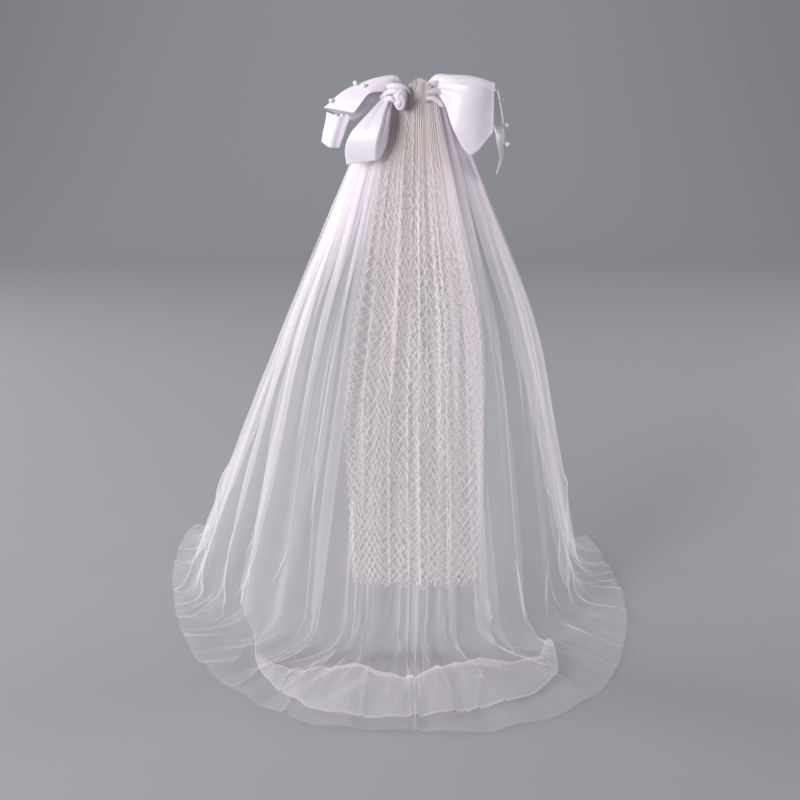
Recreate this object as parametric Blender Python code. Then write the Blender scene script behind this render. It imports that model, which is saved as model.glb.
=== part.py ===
"""A short bridal veil in two tiers of tulle with a coarse net panel in front, pinned on by a comb
behind a satin bow with pearls, and shown hanging with its hem spread on the surface below.

Metres, +Z up. The origin is the middle of the comb's spine on its back face, where the veil pins
to the hair. The front of the veil faces -Y, and the side edges of the tulle fall at the back.
"""

import bmesh
import bpy
import numpy as np

# Overall sizes
HANG_DROP = 0.715  # from the comb down to the surface that the hem lies on
HEM_RADIUS = 0.345  # from the axis out to the hem of the long tier in front
HEM_SHIFT = -0.0176  # how far the hem's middle lies to one side of the comb
SHOULDER_DROP = 0.30  # below the comb, where the fall changes its slope
BEND_REACH = 0.05  # cloth used each side of the turn from hanging to lying
SHOULDER_REACH = 0.08  # the same at the shoulder
LEAST_HEM = 0.001  # cloth that lies beyond the turn at the least
GATHER_WIDTH = 0.088  # across the gathered top of the tiers
GATHER_DEPTH = 0.024  # front to back of the same
GATHER_DIP = 0.008  # how much lower the gathered top is at its sides
GATHER_TURN = 0.70  # heading at the gather, as a share of the heading at the hem

# Cloth
TULLE_WALL = 0.0015
NET_WALL = 0.0015
SATIN_WALL = 0.0015
LAYER_GAP = 0.0012  # clear space between two layers, measured along the offset

# Net panel
NET_HEAD = 0.026  # how far its ruffled head stands above the gather
NET_LENGTH = 0.640  # along the cloth from the gather to its cut edge
NET_COLUMNS = 5
NET_ROWS = 22
NET_TALL_HOLE = 0.80  # how much of a cell is open, low on the panel
NET_SMALL_HOLE = 0.22  # the same in its gathered head
NET_HEAD_ROWS = 6  # rows over which the cells open up

# Folds
FOLD_SHARE = 0.065  # depth of a fold, as a share of how far out it lies
FLOOR_FOLD = 0.45  # how much of that depth is left where the cloth lies down

# Comb
COMB_WIDTH = 0.070
COMB_WALL = 0.003
SPINE_HEIGHT = 0.006
TOOTH_LENGTH = 0.040
TOOTH_WIDTH = 0.0026
TOOTH_TAPER = 0.3  # what the tip loses on each side, as a share of the width
TOOTH_COUNT = 10

# Bow and pearls
BOW_SPAN = 0.240
PEARL_DIAMETER = 0.006
SEW_GAP = 0.0007  # between a pearl and the satin it is sewn to

# Grid of the tulle solids
COLUMNS = 76
FALL_ROWS = (0.0, 0.04, 0.11, 0.22, 0.36, 0.52, 0.68, 0.80, 0.90, 1.0)
FLOOR_ROWS = (0.5, 1.0)

# The plan of the long tier: radii at the shoulder, where it meets the floor, and at the hem,
# each a share of HEM_RADIUS. Headings are degrees from the front towards +X.
PLAN = np.array(
    [
        # heading, shoulder, knee, hem
        (-128.0, 0.52, 1.13, 1.26),
        (-112.0, 0.49, 0.97, 1.10),
        (-92.0, 0.46, 0.86, 0.97),
        (-74.0, 0.43, 0.72, 0.93),
        (-55.0, 0.37, 0.59, 0.94),
        (-36.0, 0.28, 0.48, 0.97),
        (-17.0, 0.22, 0.41, 1.01),
        (0.0, 0.20, 0.39, 1.00),
        (19.0, 0.23, 0.42, 1.06),
        (44.0, 0.36, 0.52, 1.05),
        (66.0, 0.44, 0.62, 0.97),
        (88.0, 0.48, 0.71, 0.95),
        (108.0, 0.50, 0.80, 0.98),
        (126.0, 0.52, 0.93, 1.09),
    ]
)

# The hem of the short tier, as shares of HEM_RADIUS
SHORT_HEM = np.array(
    [
        # heading, hem
        (-76.0, 0.92),
        (-58.0, 0.83),
        (-47.0, 0.84),
        (-33.0, 0.88),
        (-18.0, 0.95),
        (0.0, 0.94),
        (18.0, 0.93),
        (32.0, 0.92),
        (45.0, 0.86),
        (60.0, 0.83),
        (78.0, 0.88),
    ]
)

# The main folds, which run down both tiers together
FOLDS = (
    # heading, half width, depth as a share of a full fold
    (-119.0, 8.0, 0.8),
    (-105.0, 7.0, 1.0),
    (-91.0, 7.5, 0.7),
    (-78.0, 6.5, 1.0),
    (-65.0, 7.0, 0.8),
    (-51.0, 7.5, 1.0),
    (-38.0, 6.5, 0.9),
    (-25.0, 6.5, 0.7),
    (-13.0, 6.5, 0.9),
    (0.0, 6.5, 0.6),
    (12.0, 6.5, 0.9),
    (25.0, 7.0, 1.0),
    (38.0, 6.5, 0.8),
    (51.0, 7.5, 1.1),
    (65.0, 7.0, 0.8),
    (78.0, 6.5, 1.0),
    (91.0, 7.0, 0.8),
    (105.0, 7.5, 1.0),
    (118.0, 7.0, 0.8),
)

# The sides of the net panel, as headings, by share of its length below the gather
NET_SIDES = np.array(
    [
        # share of length, left heading, right heading
        (-0.04, -14.0, 34.0),
        (0.00, -36.0, 40.0),
        (0.15, -40.0, 45.0),
        (0.45, -41.0, 47.0),
        (0.65, -39.0, 43.0),
        (1.00, -27.0, 35.0),
    ]
)

# Ribbons of the bow. A row is a section across the ribbon, and its points are x, y, z from the
# comb as shares of BOW_SPAN.
UPPER_LEFT_LOOP = (
    # front edge, ridge, back edge
    ((-0.128, -0.130, 0.045), (-0.066, -0.070, 0.098), (-0.125, -0.040, 0.052)),
    ((-0.157, -0.170, 0.060), (-0.099, -0.110, 0.138), (-0.157, -0.040, 0.045)),
    ((-0.228, -0.200, 0.055), (-0.193, -0.115, 0.129), (-0.215, -0.030, 0.010)),
    ((-0.269, -0.215, 0.014), (-0.286, -0.120, 0.098), (-0.255, -0.030, -0.045)),
    ((-0.302, -0.215, -0.030), (-0.375, -0.120, 0.058), (-0.318, -0.040, -0.100)),
    ((-0.322, -0.200, -0.044), (-0.475, -0.125, -0.026), (-0.360, -0.050, -0.085)),
)
LEFT_TAIL = (
    # outer edge, middle, inner edge
    ((-0.462, -0.130, -0.046), (-0.395, -0.190, -0.064), (-0.328, -0.190, -0.064)),
    ((-0.468, -0.128, -0.085), (-0.405, -0.182, -0.092), (-0.345, -0.182, -0.096)),
    ((-0.484, -0.112, -0.150), (-0.428, -0.165, -0.165), (-0.372, -0.160, -0.170)),
    ((-0.495, -0.100, -0.205), (-0.448, -0.150, -0.230), (-0.396, -0.145, -0.233)),
)
FRONT_LEFT_TAIL = (
    # outer edge, crease, inner edge
    ((-0.140, -0.165, 0.055), (-0.128, -0.185, 0.026), (-0.122, -0.175, -0.002)),
    ((-0.213, -0.205, -0.018), (-0.159, -0.230, -0.043), (-0.122, -0.205, -0.050)),
    ((-0.288, -0.225, -0.095), (-0.174, -0.255, -0.104), (-0.128, -0.220, -0.100)),
    ((-0.336, -0.230, -0.153), (-0.192, -0.262, -0.165), (-0.132, -0.224, -0.148)),
    ((-0.363, -0.222, -0.232), (-0.202, -0.255, -0.222), (-0.147, -0.222, -0.214)),
    ((-0.357, -0.205, -0.315), (-0.205, -0.232, -0.290), (-0.182, -0.224, -0.283)),
)
RIGHT_LOOP = (
    # lower front edge, crease, top, lower back edge
    ((0.086, -0.018, 0.050), (0.080, -0.024, 0.080), (0.076, -0.014, 0.100), (0.084, 0.010, 0.070)),
    ((0.126, -0.055, 0.038), (0.137, -0.080, 0.092), (0.123, -0.035, 0.140), (0.130, 0.015, 0.060)),
    ((0.168, -0.095, -0.020), (0.213, -0.125, 0.097), (0.200, -0.045, 0.139), (0.195, 0.025, 0.010)),
    ((0.214, -0.145, -0.145), (0.285, -0.145, 0.093), (0.275, -0.050, 0.136), (0.255, 0.025, -0.090)),
    ((0.306, -0.155, -0.270), (0.355, -0.140, 0.085), (0.350, -0.060, 0.123), (0.330, 0.020, -0.160)),
    ((0.425, -0.125, -0.152), (0.424, -0.115, 0.060), (0.430, -0.070, 0.097), (0.420, -0.010, -0.110)),
)
RIGHT_BACK_TAIL = (
    # front edge, middle, back edge
    ((0.438, -0.090, 0.045), (0.445, -0.030, 0.060), (0.438, 0.040, 0.060)),
    ((0.442, -0.100, -0.020), (0.462, -0.030, -0.010), (0.456, 0.045, -0.010)),
    ((0.446, -0.110, -0.120), (0.481, -0.030, -0.118), (0.474, 0.050, -0.110)),
    ((0.449, -0.100, -0.205), (0.488, -0.025, -0.228), (0.482, 0.050, -0.215)),
    ((0.470, -0.070, -0.300), (0.477, -0.010, -0.330), (0.478, 0.050, -0.300)),
    ((0.452, -0.020, -0.390), (0.456, 0.010, -0.392), (0.462, 0.040, -0.380)),
)

# The rosette where the left ribbons start, as shares of BOW_SPAN
ROSETTE_PLACE = (-0.074, -0.190, 0.024)
ROSETTE_HALF = (0.037, 0.026, 0.054)
ROSETTE_SIDES = 16
ROSETTE_RINGS = 8
ROSETTE_FOLDS = 4
ROSETTE_RIDGE = 0.10  # how far a fold stands out, as a share
ROSETTE_TWIST = 2.5  # how much the folds swirl from front to back

# Pearls: how far along and across its ribbon each is sewn
PEARLS = (
    # name, ribbon, share along, share across, share of PEARL_DIAMETER
    ("pearl_left_1", "upper_left_loop", 0.64, 0.40, 1.0),
    ("pearl_left_2", "upper_left_loop", 0.54, 0.26, 0.9),
    ("pearl_left_3", "upper_left_loop", 0.93, 0.40, 0.9),
    ("pearl_left_4", "left_tail", 0.06, 0.30, 1.0),
    ("pearl_left_5", "left_tail", 0.03, 0.62, 0.9),
    ("pearl_left_6", "left_tail", 0.09, 0.88, 1.0),
    ("pearl_right_1", "right_back_tail", 0.42, 0.56, 1.0),
    ("pearl_right_2", "right_back_tail", 0.60, 0.56, 1.1),
    ("pearl_right_3", "right_back_tail", 0.18, 0.56, 0.7),
)

# Finishes: colour, roughness
FINISHES = {
    "tulle": ((0.80, 0.79, 0.82), 0.8),
    "net": ((0.82, 0.76, 0.74), 0.7),
    "satin": ((0.90, 0.87, 0.92), 0.35),
    "pearl": ((0.93, 0.90, 0.90), 0.2),
    "comb": ((0.85, 0.85, 0.85), 0.3),
}


def finish(name, kind):
    """A Principled material for one piece."""
    colour, roughness = FINISHES[kind]
    material = bpy.data.materials.new(name)
    material.use_nodes = True
    shader = material.node_tree.nodes["Principled BSDF"]
    shader.inputs["Base Color"].default_value = (*colour, 1.0)
    shader.inputs["Roughness"].default_value = roughness
    return material


def add_piece(name, points, faces, kind, smooth=True):
    """A named object from points and faces, with its normals turned outwards."""
    mesh = bpy.data.meshes.new(name)
    mesh.from_pydata(np.asarray(points, float).tolist(), [], faces)
    work = bmesh.new()
    work.from_mesh(mesh)
    bmesh.ops.recalc_face_normals(work, faces=work.faces)
    work.to_mesh(mesh)
    work.free()
    if smooth:
        mesh.shade_smooth()
    mesh.materials.append(finish(name, kind))
    piece = bpy.data.objects.new(name, mesh)
    bpy.context.scene.collection.objects.link(piece)
    return piece


def wall_faces(rows, columns):
    """Triangles of a wall: two sheets of rows x columns points, and the rim between them.
    Both sheets are cut along the same diagonals, so the wall keeps its thickness, and the
    triangles of one are turned over so that they face the other way."""
    index = np.arange(2 * rows * columns).reshape(2, rows, columns)
    faces = []
    for turned, sheet in zip((True, False), index):
        a, b = sheet[:-1, :-1].ravel(), sheet[:-1, 1:].ravel()
        c, d = sheet[1:, 1:].ravel(), sheet[1:, :-1].ravel()
        first = np.stack([a, c, b] if turned else [a, b, c], axis=1)
        second = np.stack([a, d, c] if turned else [a, c, d], axis=1)
        faces += first.tolist() + second.tolist()
    rim = np.concatenate(
        [index[:, 0, :-1], index[:, :-1, -1], index[:, -1, :0:-1], index[:, :0:-1, 0]], axis=1
    )
    near, far = rim
    for k in range(len(near)):
        n = (k + 1) % len(near)
        faces.append((near[k], far[k], near[n]))
        faces.append((near[n], far[k], far[n]))
    return faces


def add_wall(name, front, back, kind):
    """A closed wall between two sheets of points."""
    rows, columns = front.shape[:2]
    points = np.concatenate([front.reshape(-1, 3), back.reshape(-1, 3)])
    return add_piece(name, points, wall_faces(rows, columns), kind)


def read_table(table, column, heading):
    """A column of a table at the given headings, by a smooth cubic through its rows."""
    at, values = table[:, 0], table[:, column]
    slopes = np.gradient(values, at)
    k = np.clip(np.searchsorted(at, heading) - 1, 0, len(at) - 2)
    span = at[k + 1] - at[k]
    s = np.clip((heading - at[k]) / span, 0.0, 1.0)
    ease = s * s * (3.0 - 2.0 * s)
    bend = s * (1.0 - s) ** 2 * slopes[k] - s * s * (1.0 - s) * slopes[k + 1]
    return values[k] * (1.0 - ease) + values[k + 1] * ease + bend * span


def radial(heading):
    """Unit vectors pointing out at these headings, and those along the hem."""
    turn = np.radians(heading)
    zero = np.zeros_like(turn)
    out = np.stack([np.sin(turn), -np.cos(turn), zero], axis=-1)
    along = np.stack([np.cos(turn), np.sin(turn), zero], axis=-1)
    return out, along


def fall_corners(heading):
    """The corners of the fall at each heading: the gather, the shoulder, the knee where the
    cloth meets the floor, and the hem."""
    out, _ = radial(heading)
    turn = np.radians(heading * GATHER_TURN)
    gather = np.stack(
        [
            0.5 * GATHER_WIDTH * np.sin(turn),
            -0.5 * GATHER_DEPTH * np.cos(turn),
            -GATHER_DIP * (1.0 - np.cos(turn)),
        ],
        axis=-1,
    )
    corners = [gather]
    lows = (SHOULDER_DROP, HANG_DROP, HANG_DROP)
    for column, low in zip((1, 2, 3), lows):
        reach = read_table(PLAN, column, heading) * HEM_RADIUS
        middle = np.array([HEM_SHIFT * low / HANG_DROP, 0.0, -low])
        corners.append(middle + out * reach[:, None])
    return corners


def lengths(corners):
    """The lengths of the straights between the corners."""
    return [np.linalg.norm(b - a, axis=-1) for a, b in zip(corners, corners[1:])]


def bend_reaches(corners):
    """How far each side of the shoulder and of the knee the cloth is rounded."""
    first, second, third = lengths(corners)
    shoulder = np.minimum(SHOULDER_REACH, 0.45 * np.minimum(first, second))
    knee = np.minimum(BEND_REACH, 0.95 * third)
    return shoulder, knee


def fall_point(heading, run):
    """Points and outward normals of the smooth fall, run metres of cloth below the gather.
    The path is three straights, each corner rounded by a parabola; a run below zero goes
    straight up from the gather."""
    corners = fall_corners(heading)
    spans = lengths(corners)
    unit = [(b - a) / s[:, None] for a, b, s in zip(corners, corners[1:], spans)]
    starts = np.cumsum([np.zeros_like(spans[0])] + spans[:-1], axis=0)
    place = corners[0] + unit[0] * run[..., None]
    course = np.broadcast_to(unit[0], place.shape).copy()
    for k, reach in zip((1, 2), bend_reaches(corners)):
        past = run - starts[k]
        turn = unit[k] - unit[k - 1]
        share = np.clip((past + reach) / (2.0 * reach), 0.0, 1.0)
        shift = np.where(past < reach, (np.maximum(past + reach, 0.0)) ** 2 / (4.0 * reach), past)
        place = place + turn * shift[..., None]
        course = course + turn * share[..., None]
    _, along = radial(heading)
    rise = (run < 0.0)[..., None]
    up = np.array([0.0, 0.0, -1.0])
    place = np.where(rise, corners[0] + up * run[..., None], place)
    course = np.where(rise, up, course)
    normal = np.cross(course, along)
    return place, normal / np.linalg.norm(normal, axis=-1, keepdims=True)


def fold_height(heading, place, normal):
    """How far the folds lift the cloth: a cosine ridge for each fold, as deep as it lies far
    out, and lower where the cloth lies down."""
    ridge = np.zeros_like(heading)
    for middle, half, depth in FOLDS:
        across = np.clip(np.abs(heading - middle) / half, 0.0, 1.0)
        ridge = ridge + depth * np.cos(0.5 * np.pi * across) ** 2
    reach = np.linalg.norm(place[..., :2], axis=-1)
    lying = np.clip(normal[..., 2], 0.0, 1.0)
    return ridge * FOLD_SHARE * reach * (1.0 - (1.0 - FLOOR_FOLD) * lying)


def cloth_sheet(heading, run, lift, folded=True):
    """A sheet of points on the folded fall, lifted off it by a height along its normal."""
    place, normal = fall_point(heading, run)
    height = fold_height(heading, place, normal) if folded else 0.0
    return place + normal * (height + lift)[..., None]


def tier_runs(heading, hem):
    """The rows of a tier: shared ones down to the floor, then its own out to its hem."""
    corners = fall_corners(heading)
    first, second, _ = lengths(corners)
    _, knee = bend_reaches(corners)
    down = first + second + knee
    out, _ = radial(heading)
    reach = hem * HEM_RADIUS
    flat = reach - np.sum((corners[2] - corners[3]) * out, axis=-1)
    flat = flat - read_table(PLAN, 3, heading) * HEM_RADIUS - knee
    rows = [share * down for share in FALL_ROWS]
    rows += [down + share * np.maximum(flat, LEAST_HEM) for share in FLOOR_ROWS]
    return np.array(rows)


def make_tier(name, low, high, hem, lift):
    """A folded wall of tulle between two headings."""
    heading = np.linspace(PLAN[0, 0], PLAN[-1, 0], COLUMNS)
    heading = heading[(heading >= low) & (heading <= high)]
    run = tier_runs(heading, hem(heading))
    outer = cloth_sheet(heading, run, np.full(run.shape, lift + TULLE_WALL))
    inner = cloth_sheet(heading, run, np.full(run.shape, lift))
    return add_wall(name, outer, inner, "tulle")


def make_tiers():
    """The long tier next to the wearer, and the short tier over its front."""
    make_tier(
        "long_tier", PLAN[0, 0], PLAN[-1, 0], lambda at: read_table(PLAN, 3, at), 0.0
    )
    make_tier(
        "short_tier",
        SHORT_HEM[0, 0],
        SHORT_HEM[-1, 0],
        lambda at: read_table(SHORT_HEM, 1, at),
        TULLE_WALL + LAYER_GAP,
    )


def net_place(across, down, side):
    """A point of the net panel: across it from 0 to 1, and down it from 0 at the ruffled head
    to 1 at the cut edge. The panel clears the tulle's ridges by LAYER_GAP."""
    run = -NET_HEAD + down * (NET_HEAD + NET_LENGTH)
    share = run / NET_LENGTH
    left = np.interp(share, NET_SIDES[:, 0], NET_SIDES[:, 1])
    right = np.interp(share, NET_SIDES[:, 0], NET_SIDES[:, 2])
    heading = left + across * (right - left)
    place, normal = fall_point(heading, run)
    deepest = max(depth for _, _, depth in FOLDS)
    ridge = deepest * FOLD_SHARE * np.linalg.norm(place[..., :2], axis=-1)
    lift = 2.0 * (TULLE_WALL + LAYER_GAP) + ridge + side * NET_WALL
    return place + normal * lift[..., None]


def make_net():
    """The net: diamonds in staggered rows, each with a diamond hole cut right through."""
    corners = {}
    points = []
    faces = []

    def corner(across, down, side):
        key = (round(across * 4 * NET_COLUMNS), round(down * 4 * NET_ROWS), side)
        if key not in corners:
            corners[key] = len(points)
            points.append((across, down, side))
        return corners[key]

    half = 0.5 / NET_COLUMNS
    pitch = 1.0 / (NET_ROWS + 1)
    edges = {}
    for row in range(NET_ROWS):
        shift = row % 2
        down = (row + 1) * pitch
        open_share = NET_SMALL_HOLE + (NET_TALL_HOLE - NET_SMALL_HOLE) * min(1.0, row / NET_HEAD_ROWS)
        for column in range(NET_COLUMNS - shift):
            across = (2 * column + 1 + shift) * half
            steps = ((0, -pitch), (half, 0), (0, pitch), (-half, 0))
            rings = []
            for side in (0, 1):
                outer = [corner(across + a, down + b, side) for a, b in steps]
                inner = []
                for a, b in steps:
                    inner.append(len(points))
                    points.append((across + open_share * a, down + open_share * b, side))
                rings.append((outer, inner))
            for k in range(4):
                n = (k + 1) % 4
                (back, hole_back), (front, hole_front) = rings
                faces.append((front[k], front[n], hole_front[n], hole_front[k]))
                faces.append((back[n], back[k], hole_back[k], hole_back[n]))
                faces.append((hole_front[k], hole_front[n], hole_back[n], hole_back[k]))
                edges.setdefault(frozenset((front[k], front[n])), []).append(
                    (front[n], front[k], back[k], back[n])
                )
    faces += [owners[0] for owners in edges.values() if len(owners) == 1]
    table = np.array(points)
    places = net_place(table[:, 0], table[:, 1], table[:, 2])
    piece = add_piece("net_panel", places, faces, "net")
    cut_to_triangles(piece.data)
    return piece


def cut_to_triangles(mesh):
    """Cuts the quads into triangles, because a quad over the curved fall isn't flat."""
    work = bmesh.new()
    work.from_mesh(mesh)
    bmesh.ops.triangulate(work, faces=work.faces)
    work.to_mesh(mesh)
    work.free()


def ribbon_point(sections, along, across):
    """A point of a ribbon: along and across it from 0 to 1, on a smooth curve through its
    sections and through the points of each section."""
    table = np.array(sections) * BOW_SPAN
    rows, rails = table.shape[:2]
    rail_at = np.linspace(0.0, 1.0, rails)
    row_at = np.linspace(0.0, 1.0, rows)
    place = []
    for axis in range(3):
        columns = [
            read_table(np.stack([row_at, table[:, rail, axis]], axis=1), 1, along)
            for rail in range(rails)
        ]
        stack = np.stack(columns)
        slopes = np.gradient(stack, rail_at, axis=0)
        k = np.clip(np.searchsorted(rail_at, across) - 1, 0, rails - 2)
        span = rail_at[k + 1] - rail_at[k]
        s = (across - rail_at[k]) / span
        ease = s * s * (3.0 - 2.0 * s)
        pick = (k, *np.indices(across.shape))
        after = (k + 1, *np.indices(across.shape))
        bend = s * (1.0 - s) ** 2 * slopes[pick] - s * s * (1.0 - s) * slopes[after]
        place.append(stack[pick] * (1.0 - ease) + stack[after] * ease + bend * span)
    return np.stack(place, axis=-1)


def ribbon_normal(sections, along, across):
    """The ribbon's normal there, from small steps along and across it."""
    step = 0.01
    down = ribbon_point(sections, np.clip(along + step, 0, 1), across)
    down = down - ribbon_point(sections, np.clip(along - step, 0, 1), across)
    side = ribbon_point(sections, along, np.clip(across + step, 0, 1))
    side = side - ribbon_point(sections, along, np.clip(across - step, 0, 1))
    normal = np.cross(down, side)
    return normal / np.linalg.norm(normal, axis=-1, keepdims=True)


# Each ribbon: its sections, the side that its normal shows (1 or -1), rows and columns
RIBBONS = {
    "upper_left_loop": (UPPER_LEFT_LOOP, -1, 11, 9),
    "left_tail": (LEFT_TAIL, -1, 7, 5),
    "front_left_tail": (FRONT_LEFT_TAIL, -1, 11, 7),
    "right_loop": (RIGHT_LOOP, 1, 11, 10),
    "right_back_tail": (RIGHT_BACK_TAIL, 1, 11, 5),
}


def make_ribbon(name):
    """A satin ribbon as a wall about its middle surface."""
    sections, side, rows, columns = RIBBONS[name]
    along, across = np.meshgrid(
        np.linspace(0.0, 1.0, rows), np.linspace(0.0, 1.0, columns), indexing="ij"
    )
    middle = ribbon_point(sections, along, across)
    normal = ribbon_normal(sections, along, across) * side
    return add_wall(
        name,
        middle + 0.5 * SATIN_WALL * normal,
        middle - 0.5 * SATIN_WALL * normal,
        "satin",
    )


def make_rosette():
    """The gathered rosette: an egg whose skin is ridged by a swirl."""
    middle = np.array(ROSETTE_PLACE) * BOW_SPAN
    half = np.array(ROSETTE_HALF) * BOW_SPAN
    ring = np.arange(1, ROSETTE_RINGS) / ROSETTE_RINGS * np.pi
    turn = np.arange(ROSETTE_SIDES) / ROSETTE_SIDES * 2.0 * np.pi
    lie, spin = np.meshgrid(ring, turn, indexing="ij")
    swell = 1.0 + ROSETTE_RIDGE * np.cos(ROSETTE_FOLDS * spin + ROSETTE_TWIST * lie)
    round_part = np.stack(
        [np.sin(lie) * np.cos(spin), -np.cos(lie), np.sin(lie) * np.sin(spin)], axis=-1
    )
    skin = middle + half * round_part * swell[..., None]
    points = [*skin.reshape(-1, 3), middle - half * [0, 1, 0], middle + half * [0, 1, 0]]
    faces = []
    front, back = len(points) - 2, len(points) - 1
    for k in range(ROSETTE_SIDES):
        n = (k + 1) % ROSETTE_SIDES
        faces.append((front, k, n))
        for r in range(ROSETTE_RINGS - 2):
            a, b = r * ROSETTE_SIDES, (r + 1) * ROSETTE_SIDES
            faces.append((a + k, b + k, b + n))
            faces.append((a + k, b + n, a + n))
        last = (ROSETTE_RINGS - 2) * ROSETTE_SIDES
        faces.append((last + k, back, last + n))
    return add_piece("bow_rosette", points, faces, "satin")


def make_pearl(name, ribbon, along, across, share):
    """A pearl sewn to the outer face of its ribbon, a sewing gap off the satin."""
    sections, side, _, _ = RIBBONS[ribbon]
    radius = 0.5 * PEARL_DIAMETER * share
    at = (np.array([along]), np.array([across]))
    place = ribbon_point(sections, *at)[0]
    normal = ribbon_normal(sections, *at)[0] * side
    middle = place + normal * (0.5 * SATIN_WALL + SEW_GAP + radius)
    work = bmesh.new()
    bmesh.ops.create_uvsphere(work, u_segments=10, v_segments=6, radius=radius)
    mesh = bpy.data.meshes.new(name)
    work.to_mesh(mesh)
    work.free()
    mesh.shade_smooth()
    mesh.materials.append(finish(name, "pearl"))
    pearl = bpy.data.objects.new(name, mesh)
    pearl.location = middle
    bpy.context.scene.collection.objects.link(pearl)
    return pearl


def make_comb():
    """A plain comb: a spine with a row of tapered teeth, cut from one plate."""
    half = 0.5 * COMB_WIDTH
    pitch = (COMB_WIDTH - TOOTH_WIDTH) / (TOOTH_COUNT - 1)
    outline = [(half, 0.5 * SPINE_HEIGHT), (-half, 0.5 * SPINE_HEIGHT)]
    foot = -0.5 * SPINE_HEIGHT
    for k in range(TOOTH_COUNT):
        left = -half + k * pitch
        outline.append((left, foot))
        outline.append((left + TOOTH_TAPER * TOOTH_WIDTH, foot - TOOTH_LENGTH))
        outline.append((left + (1.0 - TOOTH_TAPER) * TOOTH_WIDTH, foot - TOOTH_LENGTH))
        outline.append((left + TOOTH_WIDTH, foot))
    work = bmesh.new()
    face = work.faces.new([work.verts.new((x, 0.0, z)) for x, z in outline])
    grown = bmesh.ops.extrude_face_region(work, geom=[face])
    moved = [g for g in grown["geom"] if isinstance(g, bmesh.types.BMVert)]
    bmesh.ops.translate(work, verts=moved, vec=(0.0, -COMB_WALL, 0.0))
    bmesh.ops.recalc_face_normals(work, faces=work.faces)
    mesh = bpy.data.meshes.new("hair_comb")
    work.to_mesh(mesh)
    work.free()
    mesh.materials.append(finish("hair_comb", "comb"))
    comb = bpy.data.objects.new("hair_comb", mesh)
    bpy.context.scene.collection.objects.link(comb)
    return comb


def clear_scene():
    """Removes the objects that the file opened with."""
    for old in list(bpy.data.objects):
        bpy.data.objects.remove(old)


def main():
    clear_scene()
    make_comb()
    make_tiers()
    make_net()
    for name in RIBBONS:
        make_ribbon(name)
    make_rosette()
    for row in PEARLS:
        make_pearl(*row)


main()
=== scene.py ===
# %% [markdown]
# # A short bridal veil
#
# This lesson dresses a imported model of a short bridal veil: two tiers of tulle gathered onto a
# comb, a coarse net panel in front, and a satin bow with pearls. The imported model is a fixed
# frame of plain solids, and every surface made here lies where its solid lies.

import bpy
import numpy as np
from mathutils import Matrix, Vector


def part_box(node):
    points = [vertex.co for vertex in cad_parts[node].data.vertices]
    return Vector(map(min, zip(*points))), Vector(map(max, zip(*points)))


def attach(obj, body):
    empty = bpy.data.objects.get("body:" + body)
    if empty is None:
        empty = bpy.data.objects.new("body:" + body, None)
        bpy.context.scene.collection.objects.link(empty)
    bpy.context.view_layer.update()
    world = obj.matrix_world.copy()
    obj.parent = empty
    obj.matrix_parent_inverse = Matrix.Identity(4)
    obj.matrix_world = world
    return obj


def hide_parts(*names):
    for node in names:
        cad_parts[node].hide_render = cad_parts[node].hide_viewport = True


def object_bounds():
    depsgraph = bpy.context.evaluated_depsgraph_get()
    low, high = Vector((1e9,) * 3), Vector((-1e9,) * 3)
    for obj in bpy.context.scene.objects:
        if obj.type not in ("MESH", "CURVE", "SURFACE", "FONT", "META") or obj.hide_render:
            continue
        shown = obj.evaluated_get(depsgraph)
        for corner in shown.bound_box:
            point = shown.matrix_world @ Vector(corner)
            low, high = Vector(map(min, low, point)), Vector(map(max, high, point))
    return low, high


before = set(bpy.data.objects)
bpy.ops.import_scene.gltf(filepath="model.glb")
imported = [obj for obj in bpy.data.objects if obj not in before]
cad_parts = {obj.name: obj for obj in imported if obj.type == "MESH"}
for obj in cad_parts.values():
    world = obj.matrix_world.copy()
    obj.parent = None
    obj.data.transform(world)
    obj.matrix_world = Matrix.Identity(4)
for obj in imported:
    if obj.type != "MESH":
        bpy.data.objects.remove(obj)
cad_low, cad_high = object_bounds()

print("frame", sorted(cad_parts), "box", cad_low, cad_high)

# %% [markdown]
# ## Sizes
#
# All sizes are metres, with +Z up, the front of the veil facing -Y and the origin where the comb
# pins on. They repeat the plan that the solids were built from, because the cloth has to fall
# along the same course.

# %% Named sizes
MM = 0.001
HANG_DROP = -float(cad_low[2])  # from the comb down to the surface that the hem lies on
HEM_RADIUS = 0.345
HEM_SHIFT = -0.0176
SHOULDER_DROP = 0.30
SHOULDER_REACH = 0.08  # cloth used each side of the bend at the shoulder
BEND_REACH = 0.05  # the same at the turn onto the floor
GATHER_WIDTH = 0.088
GATHER_DEPTH = 0.024
GATHER_DIP = 0.008
GATHER_TURN = 0.70
BOW_SPAN = 0.240
random = np.random.default_rng(11)  # draws the scattered laps of the tiers and the net
print(f"the comb is {HANG_DROP:.3f} m above the floor")

# %% [markdown]
# The plan of the cloth is a short table: for a few headings around the veil, how far out the
# cloth is at the shoulder, where it meets the floor, and at its hem. A smooth cubic reads any
# heading between the rows.

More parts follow.
